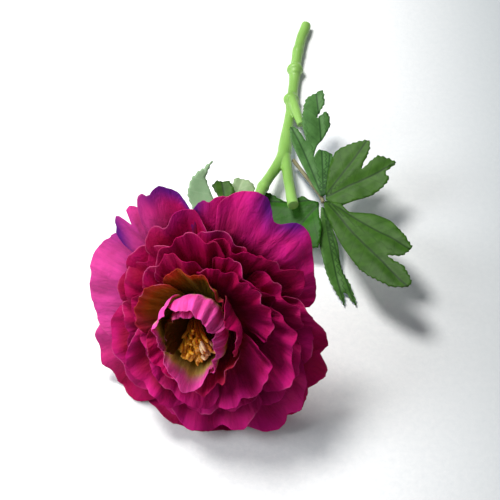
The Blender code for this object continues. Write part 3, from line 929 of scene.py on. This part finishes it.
def make_stamens(material):
    """Fine curved filaments that fan out of a boss, each with an anther like a grain of rice."""
    dice = random.Random(11)
    spots, faces, tints = [], [], []

    def add_bar(route, sides, steps, tint_at):
        more, skins = tube_parts(route, sides, steps, len(spots))
        count = len(more) // sides
        for i in range(count):
            tints.extend([tint_at(i / (count - 1))] * sides)
        spots.extend(more)
        faces.extend(skins)

    foot = (
        ((0.0, 0.0, 5.6), 1.2),
        ((-1.8, 0.1, 6.4), 1.7),
        (TUFT_FOOT + Vector((0.3, 0, -0.6)), 1.9),
        (TUFT_FOOT + Vector((-0.1, -0.2, 0.9)), 1.7),
        (TUFT_FOOT + Vector((0.2, -0.8, 2.2)), 0.8),
    )
    add_bar([(*place, radius) for place, radius in foot], 12, 4, lambda t: TUFT_FOOT_BROWN)
    for i in range(STAMEN_COUNT):
        ring = math.sqrt((i + 0.5) / STAMEN_COUNT)
        across = Vector((math.cos(i * GOLDEN_ANGLE), math.sin(i * GOLDEN_ANGLE), 0)) * ring
        end = TUFT_TOP + Vector((TUFT_SPREAD[0] * across.x, TUFT_SPREAD[1] * across.y, -2.6 * ring))
        end.z += dice.uniform(-1.0, 1.5)
        start = TUFT_FOOT + Vector((1.2 * across.x, across.y - 0.5, 0.6))
        aim = (end - start) * dice.uniform(0.5, 1.0) ** 0.6
        end = start + aim
        side = Vector((dice.uniform(-1, 1), dice.uniform(-1, 1), 0.5)) * 1.1
        middle = start + aim * 0.55 + side
        add_bar(
            ((*start, 0.26), (*middle, 0.22), (*end, 0.18)), 6, 5,
            lambda t: mixed(STAMEN_BROWN, STAMEN_GOLD, t),
        )
        sway = Vector((dice.uniform(-0.8, 0.8), dice.uniform(-0.8, 0.8), dice.uniform(-0.4, 0.4)))
        lean = (aim.normalized() + sway).normalized()
        half_length = dice.uniform(1.6, 2.5)
        head = mixed(STAMEN_BROWN, STAMEN_GOLD, dice.random() ** 0.7)
        head = mixed(head, STAMEN_PALE, dice.random() if end.x > 1.5 else 0.0)
        add_bar(
            [(*(end + lean * half_length * (share + 0.8)), radius) for share, radius in ANTHER], 8, 2,
            lambda t, h=head: mixed(h, STAMEN_GOLD, 0.5 * t),
        )
    world = [BLOOM @ spot + SHIFT for spot in spots]
    made = link_mesh("stamens", world, faces, material)
    paint(made, tints)
    belong(made, "stamen_cluster")


def leaf_height(leaf, x, y):
    """A leaflet's height over the table, in millimetres, as in the CAD model."""
    wave = 0.9 * math.sin(0.17 * x + 0.4) * math.cos(0.11 * y) * smooth_step(4, 16, math.hypot(x, y))
    return leaf["level"] + leaf["slope"][0] * x + leaf["slope"][1] * y + wave


def toothed(outline):
    """The outline with rounded lobes and small teeth towards its far ends."""
    rows = [Vector(spot) for spot in outline]
    count = len(rows)
    far = max(row.length for row in rows)
    line = []
    for i in range(count):
        a, b, c, d = (rows[(i + k) % count] for k in (-1, 0, 1, 2))
        steps = max(2, round((c - b).length / 0.8))
        for k in range(steps):
            t = k / steps
            line.append(b.lerp(c, t).lerp(spline(a, b, c, d, t), 0.6))
    teeth = []
    travelled = 0.0
    for i, spot in enumerate(line):
        ahead = line[(i + 1) % len(line)] - line[i - 1]
        travelled += (line[i] - line[i - 1]).length
        out = Vector((ahead.y, -ahead.x)).normalized()
        if out.dot(spot) < 0 and spot.length > 0.6 * far:
            out = -out
        saw = (travelled / TOOTH_PITCH + 0.3 * noise.noise(Vector((travelled * 0.3, 0, 5)))) % 1.0
        depth = TOOTH_DEPTH * smooth_step(0.45 * far, 0.8 * far, spot.length)
        teeth.append(spot + out * depth * (0.5 - saw))
    return teeth


def leaf_net(outline):
    """Points inside an outline on a triangular net, clear of its edge."""
    xs = [spot[0] for spot in outline]
    ys = [spot[1] for spot in outline]
    found = []
    pairs = list(zip(outline, outline[1:] + outline[:1]))
    row_gap = NET_SPACING * NET_ROW
    for j in range(int((max(ys) - min(ys)) / row_gap) + 1):
        y = min(ys) + (j + 0.5) * row_gap
        for i in range(int((max(xs) - min(xs)) / NET_SPACING) + 2):
            x = min(xs) + (i + 0.5 * (j % 2)) * NET_SPACING
            inside = False
            clear = True
            for (ax, ay), (bx, by) in pairs:
                if (ay > y) != (by > y) and x < ax + (bx - ax) * (y - ay) / (by - ay):
                    inside = not inside
                if (ax - x) ** 2 + (ay - y) ** 2 < (0.5 * NET_SPACING) ** 2:
                    clear = False
            if inside and clear:
                found.append(Vector((x, y)))
    return found


def near_rib(spot, ribs):
    """Distance along the nearest rib and signed distance off it, in millimetres."""
    best = None
    for rib in ribs:
        end = Vector(rib)
        line = end.normalized()
        along = spot.dot(line)
        off = spot.x * line.y - spot.y * line.x
        bowed = off - 0.06 * along * (1 - along / end.length)
        if best is None or abs(bowed) < abs(best[1]):
            best = (along, bowed)
    return best


def make_leaflets(top, under):
    for name, leaf in LEAFLETS.items():
        centre = RIGHT_LEAF_CENTRE if "right" in name else LEFT_LEAF_CENTRE
        outline = [tuple(spot) for spot in toothed(leaf["outline"])]
        flat = [Vector(spot) for spot in outline] + leaf_net(outline)
        loop = [list(range(len(outline)))]
        spots, _, faces, _, _, _ = geometry.delaunay_2d_cdt(flat, [], loop, 1, 1e-4)
        world, tints, cloth = [], [], []
        for spot in spots:
            along, off = near_rib(spot, leaf["ribs"])
            height = leaf_height(leaf, spot.x, spot.y)
            height += 0.8 * min(1.0, abs(off) / 3.0) - 0.35  # the cloth is folded along its ribs
            height += 0.5 * noise.noise(Vector((spot.x * 0.16, spot.y * 0.16, leaf["level"])))
            world.append(Vector((centre[0] + spot.x, centre[1] + spot.y, height)) * MM + SHIFT)
            cloth.append((off, along, leaf["level"]))
            tints.append(leaf["light"])
        sides = (under, top) if leaf.get("flipped") else (top, under)
        made = link_mesh(f"cloth_{name}", world, [tuple(face) for face in faces], *sides)
        if sum(face.normal.z for face in made.data.polygons) < 0:
            made.data.flip_normals()
        paint(made, tints)
        mark(made, cloth)
        thicken(made, LEAF_THICKNESS, 1)
        belong(made, name)


def new_material(name, roughness, **settings):
    """A material, its node tree and its shader; settings are sockets, with _ for a space."""
    made = bpy.data.materials.new(name)
    made.use_nodes = True
    tree = made.node_tree
    shader = tree.nodes["Principled BSDF"]
    shader.inputs["Roughness"].default_value = roughness
    for key, value in settings.items():
        shader.inputs[key.replace("_", " ")].default_value = value
    return made, tree, shader


def put(tree, kind, inputs=None, **settings):
    """Adds a node: inputs are values, or outputs of other nodes, by the name of the socket."""
    made = tree.nodes.new(kind)
    for key, value in settings.items():
        setattr(made, key, value)
    for key, value in (inputs or {}).items():
        if isinstance(value, bpy.types.NodeSocket):
            tree.links.new(value, made.inputs[key])
        else:
            made.inputs[key].default_value = value
    return made


def spread(tree, value, low, high):
    """Maps noise, which keeps near 0.5, on to a range."""
    return put(
        tree, "ShaderNodeMapRange",
        {"Value": value, "From Min": 0.3, "From Max": 0.7, "To Min": low, "To Max": high},
    ).outputs[0]


def mix_colour(tree, factor, a, b, blend_type="MIX"):
    """Blends two colours, each of them a tuple or an output."""
    made = tree.nodes.new("ShaderNodeMix")
    made.data_type = "RGBA"
    made.blend_type = blend_type
    for socket, value in ((made.inputs[0], factor), (made.inputs[6], a), (made.inputs[7], b)):
        if isinstance(value, bpy.types.NodeSocket):
            tree.links.new(value, socket)
        elif isinstance(value, tuple) and len(value) == 3:
            socket.default_value = (*value, 1.0)
        else:
            socket.default_value = value
    return made.outputs[2]


def bumped(tree, height, strength, distance):
    bump = put(tree, "ShaderNodeBump", {"Height": height, "Strength": strength, "Distance": distance})
    return bump.outputs["Normal"]


def let_light_through(tree, shader, colour, normal, share):
    """Makes this share of a cloth's surface translucent."""
    glow = put(tree, "ShaderNodeBsdfTranslucent", {"Color": colour, "Normal": normal})
    blend = put(tree, "ShaderNodeMixShader", {"Fac": share})
    tree.links.new(shader.outputs[0], blend.inputs[1])
    tree.links.new(glow.outputs[0], blend.inputs[2])
    tree.links.new(blend.outputs[0], tree.nodes["Material Output"].inputs["Surface"])


def woven(tree, cloth, scale, strength, distance):
    """The normal of crossing threads with a little grain."""
    one = put(tree, "ShaderNodeTexWave", {"Vector": cloth, "Scale": scale}, bands_direction="X")
    two = put(tree, "ShaderNodeTexWave", {"Vector": cloth, "Scale": scale}, bands_direction="Y")
    threads = put(
        tree, "ShaderNodeMath", {0: one.outputs["Fac"], 1: two.outputs["Fac"]}, operation="MULTIPLY"
    )
    grain = put(tree, "ShaderNodeTexNoise", {"Vector": cloth, "Scale": 1.6, "Detail": 3.0})
    relief = put(
        tree, "ShaderNodeMath", {0: threads.outputs[0], 1: grain.outputs["Fac"]}, operation="ADD"
    )
    return bumped(tree, relief.outputs[0], strength, distance)


def silk_material():
    """Dyed silk coloured from its vertices, painted light and shade included: thin streaks and soft
    patches in its colour, creases, and a fine weave.
    """
    made, tree, shader = new_material(
        "petal_silk_look", 0.6, Sheen_Weight=0.02, Sheen_Roughness=0.4, Specular_IOR_Level=0.08
    )
    shader.inputs["Sheen Tint"].default_value = (1.0, 0.55, 0.85, 1.0)
    tint = put(tree, "ShaderNodeAttribute", attribute_name="tint").outputs["Color"]
    cloth = put(tree, "ShaderNodeAttribute", attribute_name="cloth").outputs["Vector"]
    long = put(tree, "ShaderNodeMapping", {"Vector": cloth, "Scale": (0.9, 0.10, 1.0)})
    streaks = put(tree, "ShaderNodeTexNoise", {"Vector": long.outputs[0], "Scale": 1.0, "Detail": 4.0})
    patches = put(tree, "ShaderNodeTexNoise", {"Vector": cloth, "Scale": 0.11, "Detail": 3.0})
    streaky = spread(tree, streaks.outputs["Fac"], 0.92, 1.08)
    patchy = spread(tree, patches.outputs["Fac"], 0.85, 1.2)
    value = put(tree, "ShaderNodeMath", {0: streaky, 1: patchy}, operation="MULTIPLY")
    hue = spread(tree, patches.outputs["Fac"], 0.507, 0.492)
    tinted = put(
        tree, "ShaderNodeHueSaturation", {"Color": tint, "Value": value.outputs[0], "Hue": hue}
    ).outputs[0]
    creased = put(tree, "ShaderNodeMapping", {"Vector": cloth, "Scale": (0.30, 0.11, 1.0)})
    creases = put(
        tree, "ShaderNodeTexNoise",
        {"Vector": creased.outputs[0], "Scale": 1.0, "Detail": 4.0, "Roughness": 0.6, "Distortion": 0.6},
    )
    crumple = put(
        tree, "ShaderNodeBump",
        {"Height": creases.outputs["Fac"], "Normal": woven(tree, cloth, 0.9, 0.25, 0.00006),
         "Strength": 0.7, "Distance": 0.0012},
    )
    normal = crumple.outputs["Normal"]
    tree.links.new(tinted, shader.inputs["Base Color"])
    tree.links.new(normal, shader.inputs["Normal"])
    let_light_through(tree, shader, tinted, normal, 0.28)
    return made


def leaf_material(name, dark, light, vein):
    """Printed cloth, mottled, with a rib on the leaflet's fold and veins that slant away from it."""
    made, tree, shader = new_material(name, 0.45, Specular_IOR_Level=0.14)
    level = put(tree, "ShaderNodeAttribute", attribute_name="tint").outputs["Color"]
    cloth = put(tree, "ShaderNodeAttribute", attribute_name="cloth").outputs["Vector"]
    patches = put(
        tree, "ShaderNodeTexNoise", {"Vector": cloth, "Scale": 0.22, "Detail": 4.0, "Roughness": 0.6}
    )
    ground = mix_colour(tree, spread(tree, patches.outputs["Fac"], 0.0, 1.0), dark, light)
    parts = put(tree, "ShaderNodeSeparateXYZ", {"Vector": cloth})
    off = put(tree, "ShaderNodeMath", {0: parts.outputs["X"]}, operation="ABSOLUTE").outputs[0]
    rib = put(
        tree, "ShaderNodeMapRange",
        {"Value": off, "From Min": 0.15, "From Max": 0.6, "To Min": 0.95, "To Max": 0.0},
    ).outputs[0]
    slant = put(
        tree, "ShaderNodeMath", {0: off, 1: -0.8, 2: parts.outputs["Y"]}, operation="MULTIPLY_ADD"
    ).outputs[0]
    steps = put(tree, "ShaderNodeMath", {0: slant, 1: 3.4}, operation="PINGPONG").outputs[0]
    side = put(
        tree, "ShaderNodeMapRange",
        {"Value": steps, "From Min": 0.05, "From Max": 0.4, "To Min": 0.35, "To Max": 0.0},
    ).outputs[0]
    veins = put(tree, "ShaderNodeMath", {0: rib, 1: side}, operation="MAXIMUM").outputs[0]
    printed = mix_colour(tree, veins, ground, vein)
    final = mix_colour(tree, 1.0, printed, level, "MULTIPLY")
    tree.links.new(final, shader.inputs["Base Color"])
    normal = woven(tree, cloth, 0.8, 0.3, 0.00008)
    tree.links.new(normal, shader.inputs["Normal"])
    let_light_through(tree, shader, final, normal, 0.15)
    return made


def plastic_material(name, dark, light, roughness, scale, soft=0.0):
    """Moulded plastic with cloudy colour and faint flow marks along it; soft lets light in."""
    made, tree, shader = new_material(name, roughness)
    if soft:
        shader.inputs["Subsurface Weight"].default_value = soft
        shader.inputs["Subsurface Radius"].default_value = (0.6, 1.0, 0.3)
        shader.inputs["Subsurface Scale"].default_value = 0.002
    place = put(tree, "ShaderNodeTexCoord").outputs["Object"]
    long = put(tree, "ShaderNodeMapping", {"Vector": place, "Scale": (1.0, 0.25, 1.0)})
    cloud = put(tree, "ShaderNodeTexNoise", {"Vector": long.outputs[0], "Scale": scale, "Detail": 4.0})
    colour = mix_colour(tree, spread(tree, cloud.outputs["Fac"], 0.0, 1.0), dark, light)
    tree.links.new(colour, shader.inputs["Base Color"])
    grain = put(
        tree, "ShaderNodeTexNoise", {"Vector": long.outputs[0], "Scale": scale * 9, "Detail": 3.0}
    )
    tree.links.new(bumped(tree, grain.outputs["Fac"], 0.25, 0.0001), shader.inputs["Normal"])
    dull = spread(tree, cloud.outputs["Fac"], roughness - 0.06, roughness + 0.1)
    tree.links.new(dull, shader.inputs["Roughness"])
    return made


def stamen_material():
    """Plastic in each stamen's own colour, slightly cloudy."""
    made, tree, shader = new_material("stamen_plastic_look", 0.4)
    tint = put(tree, "ShaderNodeAttribute", attribute_name="tint").outputs["Color"]
    place = put(tree, "ShaderNodeTexCoord").outputs["Object"]
    cloud = put(tree, "ShaderNodeTexNoise", {"Vector": place, "Scale": 900.0, "Detail": 3.0})
    value = spread(tree, cloud.outputs["Fac"], 0.75, 1.3)
    colour = put(tree, "ShaderNodeHueSaturation", {"Color": tint, "Value": value}).outputs[0]
    tree.links.new(colour, shader.inputs["Base Color"])
    tree.links.new(bumped(tree, cloud.outputs["Fac"], 0.3, 0.0001), shader.inputs["Normal"])
    return made


def paper_material():
    """White fibrous paper, with painted shade that greys it towards the right."""
    made, tree, shader = new_material("paper", 0.85, Specular_IOR_Level=0.2)
    place = put(tree, "ShaderNodeTexCoord").outputs["Object"]
    fibres = put(
        tree, "ShaderNodeTexNoise", {"Vector": place, "Scale": 420.0, "Detail": 5.0, "Roughness": 0.7}
    )
    pale = mix_colour(tree, spread(tree, fibres.outputs["Fac"], 0.0, 1.0), *PAPER_WHITES)
    # Painted shade: the paper greys towards the right.
    parts = put(tree, "ShaderNodeSeparateXYZ", {"Vector": place})
    right = put(
        tree, "ShaderNodeMapRange",
        {"Value": parts.outputs["X"], "From Min": 0.0, "From Max": 0.17, "To Min": 0.0, "To Max": 1.0},
        interpolation_type="SMOOTHSTEP",
    ).outputs[0]
    colour = mix_colour(tree, right, pale, mix_colour(tree, 0.85, pale, PAPER_SHADE_GREY))
    tree.links.new(colour, shader.inputs["Base Color"])
    tree.links.new(bumped(tree, fibres.outputs["Fac"], 0.35, 0.0003), shader.inputs["Normal"])
    return made


def make_light(name, place, size, power, colour):
    """A round soft light that points at the middle of the flower."""
    lamp = bpy.data.lights.new(name, "AREA")
    lamp.shape = "DISK"
    lamp.size = size
    lamp.energy = power
    lamp.color = colour
    made = bpy.data.objects.new(name, lamp)
    made.location = place
    made.rotation_euler = (LIGHT_TARGET - place).to_track_quat("-Z", "Y").to_euler()
    bpy.context.scene.collection.objects.link(made)


def make_stage():
    """Plain pale paper under soft light from the back left, and the camera."""
    corners = [Vector((x, y, 0)) * FLOOR_HALF for x, y in ((-1, -1), (1, -1), (1, 1), (-1, 1))]
    floor = link_mesh("floor", corners, [(0, 1, 2, 3)], paper_material(), smooth=False)
    make_light("key", Vector((-0.24, 0.22, 0.64)), size=0.24, power=6.2, colour=(1.0, 0.98, 0.95))
    make_light("fill", Vector((-0.50, -0.12, 0.36)), size=0.35, power=2.6, colour=(0.97, 0.98, 1.0))
    world = bpy.data.worlds.new("studio")
    bpy.context.scene.world = world
    world.use_nodes = True
    sky = world.node_tree.nodes["Background"]
    sky.inputs["Color"].default_value = (0.93, 0.96, 1.0, 1.0)
    sky.inputs["Strength"].default_value = 0.26
    lens = bpy.data.cameras.new("camera")
    lens.lens = CAMERA_LENS
    camera = bpy.data.objects.new("camera", lens)
    camera.location = CAMERA_PLACE + SHIFT
    camera.rotation_euler = (math.radians(CAMERA_TILT), 0, 0)
    bpy.context.scene.collection.objects.link(camera)
    bpy.context.scene.camera = camera
    bpy.context.scene.view_settings.view_transform = "Standard"


def main():
    green = plastic_material("stem_plastic_look", *STEM_GREENS, 0.42, 160.0, 0.2)
    dark = plastic_material("boss_look", *BOSS_GREENS, 0.6, 300.0)
    brown = plastic_material("petiole_wire_look", *WIRE_BROWNS, 0.55, 300.0)
    make_petals(silk_material())
    make_boss(dark)
    make_sepals(green)
    make_stem(green)
    make_stamens(stamen_material())
    make_petiole("petiole_right", RIGHT_PETIOLE, brown)
    make_petiole("petiole_left", LEFT_PETIOLE, brown)
    make_leaflets(leaf_material("leaf_top", *LEAF_TOP), leaf_material("leaf_under", *LEAF_UNDER))
    make_stage()


main()
